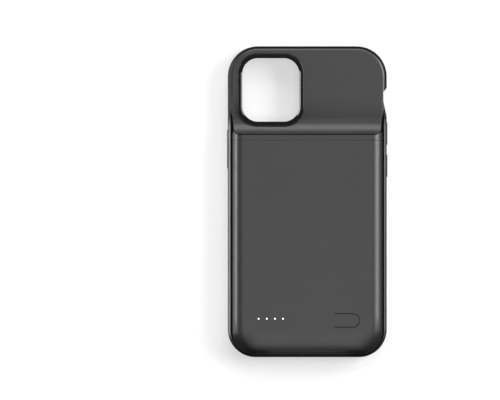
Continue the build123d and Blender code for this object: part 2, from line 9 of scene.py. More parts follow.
import json
import logging
import math
from dataclasses import dataclass, field
from enum import Enum
from typing import Iterable

import bmesh
import bpy
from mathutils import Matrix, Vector

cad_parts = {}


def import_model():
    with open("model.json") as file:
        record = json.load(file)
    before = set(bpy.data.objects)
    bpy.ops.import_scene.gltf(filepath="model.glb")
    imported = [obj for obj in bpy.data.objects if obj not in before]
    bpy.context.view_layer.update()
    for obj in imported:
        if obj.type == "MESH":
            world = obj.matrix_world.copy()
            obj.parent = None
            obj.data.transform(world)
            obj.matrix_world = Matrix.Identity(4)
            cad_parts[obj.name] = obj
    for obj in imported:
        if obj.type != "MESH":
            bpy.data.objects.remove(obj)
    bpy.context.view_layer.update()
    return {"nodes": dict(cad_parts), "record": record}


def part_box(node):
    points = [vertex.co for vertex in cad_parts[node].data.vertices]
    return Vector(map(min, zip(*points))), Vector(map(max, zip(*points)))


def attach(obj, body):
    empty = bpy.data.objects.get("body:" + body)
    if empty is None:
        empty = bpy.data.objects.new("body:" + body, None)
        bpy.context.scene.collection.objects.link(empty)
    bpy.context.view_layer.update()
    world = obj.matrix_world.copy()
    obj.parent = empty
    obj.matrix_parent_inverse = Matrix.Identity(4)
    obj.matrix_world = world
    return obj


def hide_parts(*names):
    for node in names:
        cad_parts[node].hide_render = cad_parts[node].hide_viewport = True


LOG = logging.getLogger("battery_case")
MM = 0.001

# Pattern values between which a tint goes from its low to its high colour.
TINT_SPAN = (0.3, 0.7)
# Pitch of a wave texture's bands at a scale of 1.
WAVE_PITCH = math.pi / 10.0
# Power of an area lamp for each unit of its radiance and area.
LAMP_POWER = 4.0

Colour = tuple[float, float, float]
Stretch = tuple[float, float, float]
Socket = bpy.types.NodeSocket


class Slot(Enum):
    """Material slots of the case's record."""

    FRAME_SOFT = "frame_soft"
    COVER_MATTE = "cover_matte"
    TRAY_PLASTIC = "tray_plastic"
    RING_GLOSS = "ring_gloss"
    KEY_PLASTIC = "key_plastic"
    CELL_FOIL = "cell_foil"
    TAPE = "tape"
    FOAM = "foam"
    BOARD = "board"
    CHIP = "chip"
    INDUCTOR = "inductor"
    CAPACITOR = "capacitor"
    LAMP = "lamp"
    STEEL = "steel"
    GOLD = "gold"
    LEAD_RED = "lead_red"
    LEAD_BLACK = "lead_black"
    RIBBON = "ribbon"


class Body(Enum):
    """Rigid bodies that pieces ride on."""

    CASE = "case"


class Axis(Enum):
    """Axes of the case."""

    X = "X"
    Y = "Y"
    Z = "Z"


class Op(Enum):
    """Arithmetic between patterns."""

    ABSOLUTE = "ABSOLUTE"
    ADD = "ADD"
    COMPARE = "COMPARE"
    MAXIMUM = "MAXIMUM"
    MULTIPLY = "MULTIPLY"
    SQRT = "SQRT"


class NodeBench:
    """Lays out the nodes of one material."""

    def __init__(self, name: str) -> None:
        """Start a material with a principled shader and object coordinates.

        Args:
            name: Name of the new material.
        """
        self.material = bpy.data.materials.new(name)
        self.material.use_nodes = True
        self.tree = self.material.node_tree
        self.shader = self.tree.nodes["Principled BSDF"]
        self.coordinates = self.tree.nodes.new("ShaderNodeTexCoord").outputs["Object"]

    def link(self, source: Socket, target: Socket) -> None:
        """Join an output to an input."""
        self.tree.links.new(source, target)

    def fix(self, **sockets: float | Colour) -> None:
        """Set shader sockets that are the same all over the surface.

        Args:
            sockets: Values by socket name, with underscores for spaces.
        """
        for name, value in sockets.items():
            socket = self.shader.inputs[name.replace("_", " ")]
            socket.default_value = (*value, 1.0) if isinstance(value, tuple) else value

    def place(self, stretch: Stretch) -> Socket:
        """Stretch the object coordinates.

        Args:
            stretch: Scale of the coordinates along each axis.

        Returns:
            The mapped coordinates.
        """
        mapping = self.tree.nodes.new("ShaderNodeMapping")
        mapping.inputs["Scale"].default_value = stretch
        self.link(self.coordinates, mapping.inputs["Vector"])
        return mapping.outputs["Vector"]

    def noise(self, size: float, detail: float = 2.0, vector: Socket | None = None) -> Socket:
        """Add a cloudy pattern.

        Args:
            size: Size of its features in metres.
            detail: Number of finer layers.
            vector: Coordinates, or the object's own if left out.

        Returns:
            The pattern from 0 to 1.
        """
        texture = self.tree.nodes.new("ShaderNodeTexNoise")
        texture.inputs["Scale"].default_value = 1.0 / size
        texture.inputs["Detail"].default_value = detail
        self.link(vector or self.coordinates, texture.inputs["Vector"])
        return texture.outputs["Fac"]

    def cells(self, size: float) -> Socket:
        """Add a pattern of rounded cells.

        Args:
            size: Size of a cell in metres.

        Returns:
            The distance from the middle of each cell.
        """
        texture = self.tree.nodes.new("ShaderNodeTexVoronoi")
        texture.inputs["Scale"].default_value = 1.0 / size
        self.link(self.coordinates, texture.inputs["Vector"])
        return texture.outputs["Distance"]

    def bands(self, pitch: float, axis: Axis) -> Socket:
        """Add even bands across one axis.

        Args:
            pitch: Distance from band to band in metres.
            axis: Axis that the bands follow each other along.

        Returns:
            The pattern from 0 to 1.
        """
        texture = self.tree.nodes.new("ShaderNodeTexWave")
        texture.bands_direction = axis.value
        texture.inputs["Scale"].default_value = WAVE_PITCH / pitch
        self.link(self.coordinates, texture.inputs["Vector"])
        return texture.outputs["Fac"]

    def along(self, axis: Axis) -> Socket:
        """Read the coordinate along one axis.

        Args:
            axis: The axis.

        Returns:
            The coordinate in metres.
        """
        split = self.tree.nodes.new("ShaderNodeSeparateXYZ")
        self.link(self.coordinates, split.inputs["Vector"])
        return split.outputs[axis.value]

    def past(self, axis: Axis, start: float, end: float, unit: float) -> Socket:
        """Measure how far the surface lies past a line, up to another line.

        Args:
            axis: Axis across the lines; X counts the same on both sides.
            start: Where the measure starts, in metres.
            end: Where it stops growing.
            unit: Distance that counts as 1.

        Returns:
            The distance in units.
        """
        value = self.along(axis)
        if axis is Axis.X:
            value = self.math(Op.ABSOLUTE, value)
        return self.ramp(value, start, end, abs(end - start) / unit)

    def ramp(self, value: Socket, start: float, end: float, top: float = 1.0) -> Socket:
        """Let a measure grow from 0 between two of its values.

        Args:
            value: The measure.
            start: Its value where the result leaves 0.
            end: Its value where the result stops growing.
            top: The result there.

        Returns:
            The result from 0 to the top.
        """
        remap = self.tree.nodes.new("ShaderNodeMapRange")
        remap.inputs["From Min"].default_value = start
        remap.inputs["From Max"].default_value = end
        remap.inputs["To Max"].default_value = top
        self.link(value, remap.inputs["Value"])
        return remap.outputs["Result"]

    def grazing(self, start: float, end: float) -> Socket:
        """Mark where the surface is seen at a flat angle, for gloss alone.

        Args:
            start: Facing value from which it counts, with 0 seen from the front.
            end: Facing value at which it counts in full.

        Returns:
            0 seen from the front and 1 seen at a flat angle.
        """
        weight = self.tree.nodes.new("ShaderNodeLayerWeight")
        return self.ramp(weight.outputs["Facing"], start, end)

    def level(self, start: float, end: float) -> Socket:
        """Mark where the surface lies level.

        Args:
            start: Upward part of its normal from which it counts.
            end: Upward part at which it counts in full.

        Returns:
            1 on level faces and 0 on slopes.
        """
        geometry = self.tree.nodes.new("ShaderNodeNewGeometry")
        split = self.tree.nodes.new("ShaderNodeSeparateXYZ")
        self.link(geometry.outputs["Normal"], split.inputs["Vector"])
        return self.ramp(split.outputs["Z"], start, end)

    def near(self, value: Socket, level: float, reach: float) -> Socket:
        """Mark where a measure comes close to one level.

        Args:
            value: The measure.
            level: Level that it is held against.
            reach: Difference that still counts.

        Returns:
            1 near the level and 0 elsewhere.
        """
        match = self.tree.nodes.new("ShaderNodeMath")
        match.operation = Op.COMPARE.value
        match.inputs[1].default_value = level
        match.inputs[2].default_value = reach
        self.link(value, match.inputs[0])
        return match.outputs["Value"]

    def math(self, operation: Op, *values: Socket) -> Socket:
        """Join patterns by arithmetic.

        Args:
            operation: What is done with them.
            values: The patterns, one or two.

        Returns:
            The result.
        """
        node = self.tree.nodes.new("ShaderNodeMath")
        node.operation = operation.value
        for value, socket in zip(values, node.inputs):
            self.link(value, socket)
        return node.outputs["Value"]

    def span(self, value: Socket, low: float, high: float) -> Socket:
        """Spread a pattern from 0 to 1 over another range.

        Args:
            value: The pattern.
            low: What 0 becomes.
            high: What 1 becomes.

        Returns:
            The spread value.
        """
        remap = self.tree.nodes.new("ShaderNodeMapRange")
        remap.inputs["To Min"].default_value = low
        remap.inputs["To Max"].default_value = high
        self.link(value, remap.inputs["Value"])
        return remap.outputs["Result"]

    def tint(self, value: Socket, low: Colour, high: Colour) -> Socket:
        """Colour a pattern.

        Args:
            value: The pattern.
            low: Colour where the pattern is low.
            high: Colour where it is high.

        Returns:
            The colour.
        """
        ramp = self.tree.nodes.new("ShaderNodeValToRGB")
        for element, position, colour in zip(ramp.color_ramp.elements, TINT_SPAN, (low, high)):
            element.position = position
            element.color = (*colour, 1.0)
        self.link(value, ramp.inputs["Fac"])
        return ramp.outputs["Color"]

    def mix(self, share: Socket, first: Socket, second: Colour) -> Socket:
        """Lay a plain colour over a pattern.

        Args:
            share: How far the plain colour covers.
            first: The pattern's colour.
            second: The plain colour.

        Returns:
            The mixed colour.
        """
        node = self.tree.nodes.new("ShaderNodeMix")
        node.data_type = "RGBA"
        sockets = {socket.identifier: socket for socket in node.inputs}
        sockets["B_Color"].default_value = (*second, 1.0)
        self.link(share, sockets["Factor_Float"])
        self.link(first, sockets["A_Color"])
        results = {socket.identifier: socket for socket in node.outputs}
        return results["Result_Color"]

    def bump(
        self, height: Socket, depth: float, below: Socket | None = None, sunk: bool = False
    ) -> Socket:
        """Raise the surface by a pattern.

        Args:
            height: The pattern.
            depth: Height in metres where the pattern is 1.
            below: Normal that the bump is laid on, if any.
            sunk: Whether the pattern sinks the surface instead.

        Returns:
            The raised normal.
        """
        node = self.tree.nodes.new("ShaderNodeBump")
        node.invert = sunk
        node.inputs["Distance"].default_value = depth
        self.link(height, node.inputs["Height"])
        if below is not None:
            self.link(below, node.inputs["Normal"])
        return node.outputs["Normal"]

    def feed(self, **sockets: Socket) -> None:
        """Link patterns to shader sockets by name, with underscores for spaces."""
        for name, source in sockets.items():
            self.link(source, self.shader.inputs[name.replace("_", " ")])


def shade(colour: Colour, share: float) -> Colour:
    """Lighten or darken a colour by a share of itself."""
    return tuple(channel * (1.0 + share) for channel in colour)


def grey(level: float) -> Colour:
    """Colour with the same level in each channel."""
    return (level, level, level)


def add_object(name: str, mesh: bmesh.types.BMesh) -> bpy.types.Object:
    """Turn a mesh into an object of the scene.

    Args:
        name: Name of the object.
        mesh: Its shape, which is freed.

    Returns:
        The new object.
    """
    data = bpy.data.meshes.new(name)
    mesh.to_mesh(data)
    mesh.free()
    added = bpy.data.objects.new(name, data)
    bpy.context.scene.collection.objects.link(added)
    return added


@dataclass(frozen=True)
class Finish:
    """Moulded surface with a fine grain, a slight drift of colour and uneven gloss."""

    colour: Colour
    roughness: float = 0.5
    gloss_drift: float = 0.05
    gloss_size: float = 3 * MM
    drift: float = 0.06
    drift_size: float = 18 * MM
    grain_size: float = 0.15 * MM
    grain_depth: float = 0.003 * MM
    specular: float = 0.5
    metallic: float = 0.0
    coat: float = 0.0
    coat_roughness: float = 0.1

    def material(self, slot: Slot) -> bpy.types.Material:
        """Build the finish for one slot."""
        return self.bench(slot).material

    def bench(self, slot: Slot) -> NodeBench:
        """Lay out the finish.

        Args:
            slot: Slot that the finish belongs to.

        Returns:
            The bench that holds the new material.
        """
        bench = NodeBench(f"finish_{slot.value}")
        bench.fix(Metallic=self.metallic, Specular_IOR_Level=self.specular)
        bench.fix(Coat_Weight=self.coat, Coat_Roughness=self.coat_roughness)
        bench.feed(Base_Color=self.paint(bench), Roughness=self.gloss(bench), Normal=self.grain(bench))
        return bench

    def paint(self, bench: NodeBench) -> Socket:
        """Colour with a slow drift."""
        cloud = bench.noise(self.drift_size, detail=3.0)
        return bench.tint(cloud, shade(self.colour, -self.drift), shade(self.colour, self.drift))

    def gloss(self, bench: NodeBench) -> Socket:
        """Roughness that wanders a little."""
        cloud = bench.noise(self.gloss_size)
        return bench.span(cloud, self.roughness - self.gloss_drift, self.roughness + self.gloss_drift)

    def grain(self, bench: NodeBench) -> Socket:
        """Fine even grain."""
        return bench.bump(bench.noise(self.grain_size), self.grain_depth)


@dataclass(frozen=True)
class SoftTouch(Finish):
    """Soft-touch paint: a velvety coat with a speck of dust-fine pearl and a faint orange peel."""

    speck_size: float = 0.3 * MM
    speck_share: float = 0.2
    peel_size: float = 1.4 * MM
    peel_depth: float = 0.002 * MM
    # Facing values between which the gloss turns dull, and how dull it gets.
    dull_start: float = 0.6
    dull_end: float = 0.78
    dull_roughness: float = 0.85
    # The same on level faces, and the upward parts of a normal between which a face is level.
    top_start: float = 0.12
    top_end: float = 0.35
    slope_part: float = 0.85
    level_part: float = 0.94

    def gloss(self, bench: NodeBench) -> Socket:
        """Lay out an uneven gloss that turns to a velvet dullness, sooner on level faces.

        Args:
            bench: Bench that holds the finish.

        Returns:
            The roughness.
        """
        level = bench.level(self.slope_part, self.level_part)
        top = bench.math(Op.MULTIPLY, level, bench.grazing(self.top_start, self.top_end))
        dull = bench.math(Op.MAXIMUM, top, bench.grazing(self.dull_start, self.dull_end))
        return bench.math(Op.MAXIMUM, super().gloss(bench), bench.span(dull, 0.0, self.dull_roughness))

    def paint(self, bench: NodeBench) -> Socket:
        """Lay out a drift of colour with fine specks on it.

        Args:
            bench: Bench that holds the finish.

        Returns:
            The colour.
        """
        speck = bench.noise(self.speck_size, detail=1.0)
        cloud = bench.noise(self.drift_size, detail=3.0)
        both = bench.math(Op.ADD, bench.span(speck, -self.speck_share, self.speck_share), cloud)
        return bench.tint(both, shade(self.colour, -self.drift), shade(self.colour, self.drift))

    def grain(self, bench: NodeBench, below: Socket | None = None) -> Socket:
        """Fine grain over the peel, which lies on the normal below it, if any."""
        peel = bench.bump(bench.noise(self.peel_size, detail=1.0), self.peel_depth, below)
        return bench.bump(bench.noise(self.grain_size), self.grain_depth, peel)


@dataclass(frozen=True)
class Pillowed(SoftTouch):
    """Soft-touch shell whose lower corners fall away gently, with shade painted into its dull joints.
    """

    # Lower corners: where the fall starts, how far it runs, and its depth one unit past both lines.
    corner_x: float = 24 * MM
    corner_y: float = -60 * MM
    corner_reach: float = 30 * MM
    corner_unit: float = 10 * MM
    corner_fall: float = 0.6 * MM
    # Duller band on the upper back, from its start down to the ramp's foot.
    hollow_start: float = 56 * MM
    hollow_full: float = 46 * MM
    hollow_foot: float = 43.3 * MM
    hollow_end: float = 42.5 * MM
    hollow_roughness: float = 0.4
    # Seam on the flanks, and the shadow line round the ends of the ramp's foot, where shade is painted
    # by keeping only a share of the colour. The line's radius and reach are in millimetres.
    seam_y: float = 32.1 * MM
    seam_reach: float = 0.1 * MM
    seam_flank: float = 33 * MM
    foot_x: float = 35.34 * MM
    foot_y: float = 38.71 * MM
    foot_radius: float = 3.55
    foot_reach: float = 0.25
    # Share of the colour left in the seam and the shadow line, which paints shade there.
    joint_shade_share: float = 0.1

    def joints(self, bench: NodeBench) -> Socket:
        """Mark the seam on the flanks and the shadow line round the ramp's foot, where shade is
        painted.

        Args:
            bench: Bench that holds the finish.

        Returns:
            1 in the two lines and 0 elsewhere.
        """
        flank = bench.past(Axis.X, self.seam_flank, self.seam_flank + MM, MM)
        line = bench.near(bench.along(Axis.Y), self.seam_y, self.seam_reach)
        seam = bench.math(Op.MULTIPLY, flank, line)
        across = bench.past(Axis.X, self.foot_x, self.foot_x + self.corner_reach, MM)
        along = bench.past(Axis.Y, self.foot_y, self.foot_y - self.corner_reach, MM)
        squares = [bench.math(Op.MULTIPLY, side, side) for side in (across, along)]
        distance = bench.math(Op.SQRT, bench.math(Op.ADD, *squares))
        below = bench.past(Axis.Y, self.foot_y + MM, self.foot_y, MM)
        foot = bench.math(Op.MULTIPLY, below, bench.near(distance, self.foot_radius, self.foot_reach))
        return bench.math(Op.MAXIMUM, seam, foot)

    def paint(self, bench: NodeBench) -> Socket:
        """Soft-touch paint with shade painted dark into the seam and the shadow line."""
        # Painted shade: the seam and the shadow line keep only a small share of the colour.
        painted_shade = shade(self.colour, self.joint_shade_share - 1.0)
        return bench.mix(self.joints(bench), super().paint(bench), painted_shade)

    def gloss(self, bench: NodeBench) -> Socket:
        """Lay out an uneven gloss that is duller above the ramp's foot and lost in the joints.

        Args:
            bench: Bench that holds the finish.

        Returns:
            The roughness.
        """
        place = bench.along(Axis.Y)
        inward = bench.ramp(place, self.hollow_start, self.hollow_full, self.hollow_roughness)
        outward = bench.ramp(place, self.hollow_end, self.hollow_foot)
        hollow = bench.math(Op.MULTIPLY, inward, outward)
        worn = bench.math(Op.ADD, super().gloss(bench), hollow)
        return bench.math(Op.MAXIMUM, worn, self.joints(bench))

    def grain(self, bench: NodeBench, below: Socket | None = None) -> Socket:
        """Lay grain and peel over the falling corners.

        Args:
            bench: Bench that holds the finish.
            below: Normal that the corners lie on, if any.

        Returns:
            The normal.
        """
        across = bench.past(Axis.X, self.corner_x, self.corner_x + self.corner_reach, self.corner_unit)
        along = bench.past(Axis.Y, self.corner_y, self.corner_y - self.corner_reach, self.corner_unit)
        both = bench.math(Op.MULTIPLY, across, along)
        fall = bench.bump(bench.math(Op.MULTIPLY, both, both), self.corner_fall, below, sunk=True)
        return super().grain(bench, fall)


@dataclass(frozen=True)
class Bumper(SoftTouch):
    """Soft rubber, polished by hands where it is gripped and dead matt on the floor of the groove."""

    # Height of the groove's floor, and the share of the gloss that is left there.
    groove_level: float = 9.6 * MM
    groove_reach: float = 0.08 * MM
    groove_share: float = 0.06
    # Lines along and up the case between which the lip turns from dull to polished.
    grip_start: float = 44 * MM
    grip_end: float = 40 * MM
    lip_level: float = 10 * MM
    wall_level: float = 8 * MM
    dull_specular: float = 0.12

    def bench(self, slot: Slot) -> NodeBench:
        """Lay out the finish and polish the grip.

        Args:
            slot: Slot that the finish belongs to.

        Returns:
            The bench that holds the new material.
        """
        bench = super().bench(slot)
        low = bench.past(Axis.Y, self.grip_start, self.grip_end, self.grip_start - self.grip_end)
        wall = bench.past(Axis.Z, self.lip_level, self.wall_level, self.lip_level - self.wall_level)
        polish = bench.span(bench.math(Op.MAXIMUM, low, wall), self.dull_specular, self.specular)
        groove = bench.near(bench.along(Axis.Z), self.groove_level, self.groove_reach)
        open_part = bench.span(groove, 1.0, self.groove_share)
        bench.feed(Specular_IOR_Level=bench.math(Op.MULTIPLY, polish, open_part))
        return bench


@dataclass(frozen=True)
class Brushed(Finish):
    """Drawn metal with fine lines along one axis."""

    line_size: float = 0.04 * MM
    line_stretch: float = 0.02

    def gloss(self, bench: NodeBench) -> Socket:
        """Roughness that follows the drawn lines."""
        lines = bench.noise(self.line_size, vector=bench.place((1.0, self.line_stretch, 1.0)))
        return bench.span(lines, self.roughness - self.gloss_drift, self.roughness + self.gloss_drift)

    def grain(self, bench: NodeBench) -> Socket:
        """Shallow drawn lines."""
        lines = bench.noise(self.line_size, vector=bench.place((1.0, self.line_stretch, 1.0)))
        return bench.bump(lines, self.grain_depth)


@dataclass(frozen=True)
class Foil(Finish):
    """Pouch foil with soft wrinkles."""

    wrinkle_size: float = 7 * MM
    wrinkle_depth: float = 0.12 * MM

    def grain(self, bench: NodeBench) -> Socket:
        """Wrinkles under the grain."""
        wrinkles = bench.bump(bench.noise(self.wrinkle_size, detail=4.0), self.wrinkle_depth)
        return bench.bump(bench.noise(self.grain_size), self.grain_depth, wrinkles)


@dataclass(frozen=True)
class CellFoam(Finish):
    """Closed-cell foam."""

    cell_size: float = 0.35 * MM
    cell_depth: float = 0.05 * MM

    def grain(self, bench: NodeBench) -> Socket:
        """Rounded cells."""
        return bench.bump(bench.cells(self.cell_size), self.cell_depth)


@dataclass(frozen=True)
class SolderMask(Finish):
    """Black board lacquer over copper tracks."""

    track_pitch: float = 0.9 * MM
    track_depth: float = 0.02 * MM
    track_lift: float = 0.5
    # Length, width and softness of a track, in pitches.
    track_run: float = 9.0
    track_width: float = 0.16
    track_soft: float = 0.1

    def tracks(self, bench: NodeBench) -> Socket:
        """Lay out rows of copper tracks that step aside now and then.

        Args:
            bench: Bench that holds the finish.

        Returns:
            1 on the tracks and 0 between them.
        """
        texture = bench.tree.nodes.new("ShaderNodeTexBrick")
        texture.inputs["Scale"].default_value = 1.0
        texture.inputs["Brick Width"].default_value = self.track_run * self.track_pitch
        texture.inputs["Row Height"].default_value = self.track_pitch
        texture.inputs["Mortar Size"].default_value = self.track_width * self.track_pitch
        texture.inputs["Mortar Smooth"].default_value = self.track_soft
        bench.link(bench.coordinates, texture.inputs["Vector"])
        return texture.outputs["Fac"]

    def paint(self, bench: NodeBench) -> Socket:
        """Paler lacquer over the tracks."""
        return bench.tint(self.tracks(bench), self.colour, shade(self.colour, self.track_lift))

    def grain(self, bench: NodeBench) -> Socket:
        """Raised tracks under a thin skin."""
        raised = bench.bump(self.tracks(bench), self.track_depth)
        return bench.bump(bench.noise(self.grain_size), self.grain_depth, raised)


@dataclass(frozen=True)
class Striped(Finish):
    """Clear film over parallel conductors."""

    pitch: float = 0.5 * MM
    lift: float = 0.6

    def paint(self, bench: NodeBench) -> Socket:
        """Conductors that show through the film."""
        return bench.tint(bench.bands(self.pitch, Axis.X), self.colour, shade(self.colour, self.lift))


@dataclass(frozen=True)
class Glowing(Finish):
    """Clear white plastic lit from inside."""

    glow: float = 1.0

    def bench(self, slot: Slot) -> NodeBench:
        """Lay out the finish and light it.

        Args:
            slot: Slot that the finish belongs to.

        Returns:
            The bench that holds the new material.
        """
        bench = super().bench(slot)
        bench.fix(Emission_Color=self.colour, Emission_Strength=self.glow)
        return bench


FINISHES: dict[Slot, Finish] = {
    Slot.FRAME_SOFT: Bumper(colour=(0.004, 0.004, 0.0042), roughness=0.44, specular=0.8),
    Slot.COVER_MATTE: Pillowed(colour=(0.015, 0.0149, 0.015), roughness=0.40, specular=0.5),
    Slot.TRAY_PLASTIC: Finish(colour=(0.012, 0.012, 0.0125), roughness=0.55, grain_depth=0.01 * MM),
    Slot.RING_GLOSS: SoftTouch(
        colour=(0.002, 0.002, 0.0022),
        roughness=0.14,
        specular=0.3,
        grain_depth=0.0004 * MM,
        peel_depth=0.0003 * MM,
    ),
    Slot.KEY_PLASTIC: Finish(colour=(0.018, 0.018, 0.0185), roughness=0.36),
    Slot.CELL_FOIL: Foil(colour=(0.62, 0.63, 0.64), roughness=0.42, metallic=0.9),
    Slot.TAPE: Finish(
        colour=(0.72, 0.69, 0.6), roughness=0.5, grain_size=0.5 * MM, grain_depth=0.02 * MM
    ),
    Slot.FOAM: CellFoam(colour=(0.03, 0.03, 0.03), roughness=0.9, specular=0.2),
    Slot.BOARD: SolderMask(colour=(0.010, 0.011, 0.012), roughness=0.35, coat=0.2),
    Slot.CHIP: Finish(
        colour=(0.018, 0.018, 0.019), roughness=0.5, grain_size=0.08 * MM, grain_depth=0.004 * MM
    ),
    Slot.INDUCTOR: Finish(
        colour=(0.1, 0.1, 0.108), roughness=0.6, grain_size=0.12 * MM, grain_depth=0.02 * MM
    ),
    Slot.CAPACITOR: Finish(colour=(0.42, 0.28, 0.16), roughness=0.4, drift=0.12, drift_size=0.8 * MM),
    Slot.LAMP: Glowing(colour=(0.95, 0.97, 1.0), roughness=0.25, drift=0.02, specular=0.5),
    Slot.STEEL: Brushed(colour=(0.6, 0.6, 0.61), roughness=0.3, gloss_drift=0.08, metallic=1.0),
    Slot.GOLD: Brushed(colour=(0.83, 0.58, 0.24), roughness=0.24, metallic=1.0),
    Slot.LEAD_RED: Finish(colour=(0.5, 0.025, 0.018), roughness=0.42),
    Slot.LEAD_BLACK: Finish(colour=(0.015, 0.015, 0.015), roughness=0.42),
    Slot.RIBBON: Striped(colour=(0.36, 0.15, 0.03), roughness=0.22, coat=0.3),
}


class Wardrobe:
    """Holds one material for each slot and puts it on pieces."""

    def __init__(self, record: dict) -> None:
        """Build every finish once.

        Args:
            record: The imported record, which gives the slot of each node.
        """
        self.materials = {slot: finish.material(slot) for slot, finish in FINISHES.items()}
        self.slots = {row["node"]: Slot(row["material_slot"]) for row in record["subparts"]}

    def dress_node(self, name: str, node: bpy.types.Object) -> None:
        """Put the finish of its own slot on a node."""
        self.dress(node, self.slots[name])

    def dress(self, piece: bpy.types.Object, slot: Slot) -> None:
        """Put one slot's finish on all of a piece.

        Args:
            piece: Object to dress.
            slot: Slot whose finish it takes.
        """
        if not piece.material_slots:
            piece.data.materials.append(None)
        for holder in piece.material_slots:
            holder.material = self.materials[slot]


@dataclass
class SubAssembly:
    """Pieces of the case that are dressed together."""

    nodes: dict[str, bpy.types.Object]
    wardrobe: Wardrobe
    members: tuple[str, ...] = ()

    def assemble(self) -> None:
        """Dress the nodes and add the pieces that they lack."""
        for name in self.members:
            self.wardrobe.dress_node(name, self.nodes[name])
            LOG.info("dressed %s", name)
        for piece in self.build():
            LOG.info("added %s", piece.name)

    def build(self) -> Iterable[bpy.types.Object]:
        """Make the added pieces, of which there are none by default."""
        return ()

    def piece(self, name: str, mesh: bmesh.types.BMesh, slot: Slot, body: Body) -> bpy.types.Object:
        """Turn a mesh into a dressed piece that rides on a body.

        Args:
            name: Name of the piece.
            mesh: Its shape, which is freed.
            slot: Slot that its finish comes from.
            body: Body that it moves with.

        Returns:
            The new piece.
        """
        piece = add_object(name, mesh)
        self.wardrobe.dress(piece, slot)
        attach(piece, body.value)
        return piece


@dataclass
class Shell(SubAssembly):
    """Bumper frame, upper back, rear cover, inner tray, camera ring and push tongue."""

    members: tuple[str, ...] = (
        "bumper_frame",
        "upper_back",
        "rear_cover",
        "inner_tray",
        "camera_ring",
        "power_button",
    )


@dataclass
class SideKeys(SubAssembly):
    """Keys in the two side walls."""

    members: tuple[str, ...] = ("volume_up_key", "volume_down_key", "side_key")


@dataclass
class PowerPack(SubAssembly):
    """Cell with its tapes, foam, tabs and leads."""

    members: tuple[str, ...] = (
        "battery_cell",
        "cell_protection_board",
        "cell_tabs",
        "cell_adhesive_pads",
        "cell_foam_pad",
        "lead_positive",
        "lead_negative",
    )
    foam_corner: float = 3 * MM
    foam_corner_steps: int = 6
    # Width of the crown's slope, and the share of the thickness that is left at the edge.
    foam_crown: float = 5 * MM
    foam_edge: float = 0.6
    foam_fill: float = 0.6

    def build(self) -> Iterable[bpy.types.Object]:
        """Make the foam between the cell and the cover.

        Returns:
            The foam pad.
        """
        low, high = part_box("cell_foam_pad")
        size = high - low
        edge = size.z * self.foam_edge
        rise = Vector((0.0, 0.0, size.z - edge))
        mesh = bmesh.new()
        bmesh.ops.create_cube(mesh, size=1.0)
        bmesh.ops.scale(mesh, verts=mesh.verts, vec=(size.x, size.y, edge))
        bmesh.ops.translate(mesh, verts=mesh.verts, vec=(low + high - rise) / 2)
        upright = [rib for rib in mesh.edges if abs(rib.verts[0].co.z - rib.verts[1].co.z) > edge / 2]
        bmesh.ops.bevel(
            mesh,
            geom=upright,
            offset=self.foam_corner,
            segments=self.foam_corner_steps,
            profile=0.5,
            affect="EDGES",
            material=-1,
        )
        mesh.normal_update()
        top = [face for face in mesh.faces if face.normal.z > face.normal.xy.length]
        bmesh.ops.inset_region(
            mesh, faces=top, thickness=self.foam_crown, depth=0.0, use_even_offset=True
        )
        crown = list({vert for face in top for vert in face.verts})
        bmesh.ops.translate(mesh, verts=crown, vec=rise)
        bmesh.ops.recalc_face_normals(mesh, faces=mesh.faces)
        pad = self.piece("foam_pad", mesh, Slot.FOAM, Body.CASE)
        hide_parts("cell_foam_pad")
        return [pad]


@dataclass
class ControlBoard(SubAssembly):
    """Main board with its parts, lamps and switch."""

    members: tuple[str, ...] = (
        "main_board",
        "board_chips",
        "power_inductor",
        "board_capacitors",
        "indicator_leds",
        "light_guide",
        "board_screws",
        "power_switch",
        "switch_plunger",
    )


@dataclass
class Dock(SubAssembly):
    """Plug in the pocket, charging port and the small board between them."""

    members: tuple[str, ...] = (
        "dock_board",
        "plug_collar",
        "plug_blade",
        "plug_contacts",
        "port_shell",
        "port_tongue",
        "port_contacts",
        "dock_ribbon",
    )


@dataclass(frozen=True)
class Softbox:
    """Soft lamp that faces the case."""

    name: str
    azimuth: float
    elevation: float
    width: float
    height: float
    radiance: float
    distance: float = 2.0

    def hang(self, target: Vector) -> None:
        """Hang the lamp and turn it to the case.

        Args:
            target: Point that the lamp faces.
        """
        turn = math.radians(self.azimuth)
        lift = math.radians(self.elevation)
        level = math.cos(lift)
        away = Vector((level * math.cos(turn), level * math.sin(turn), math.sin(lift)))
        data = bpy.data.lights.new(self.name, "AREA")
        data.shape = "RECTANGLE"
        data.size = self.width
        data.size_y = self.height
        data.energy = LAMP_POWER * self.width * self.height * self.radiance
        lamp = bpy.data.objects.new(self.name, data)
        bpy.context.scene.collection.objects.link(lamp)
        lamp.location = target + away * self.distance
        lamp.rotation_euler = (-away).to_track_quat("-Z", "Y").to_euler()
        lamp.visible_camera = False


@dataclass(frozen=True)
class FlagBend:
    """Round bend of the black card at one corner of the case, between two angles in degrees."""

    side: int
    end: int
    first: int
    last: int
    radius: float
    step: int = 5

    def points(self, reach: Vector) -> list[Vector]:
        """Set out the bend on the floor.

        Args:
            reach: Corner of the box that the card stands on, at the right of the far end.

        Returns:
            The points, from the first angle to the last.
        """
        middle = Vector((self.side * (reach.x - self.radius), self.end * (reach.y - self.radius), 0.0))
        points = []
        for degrees in range(self.first, self.last - 1, -self.step):
            angle = math.radians(degrees)
            points.append(middle + self.radius * Vector((math.cos(angle), math.sin(angle), 0.0)))
        return points


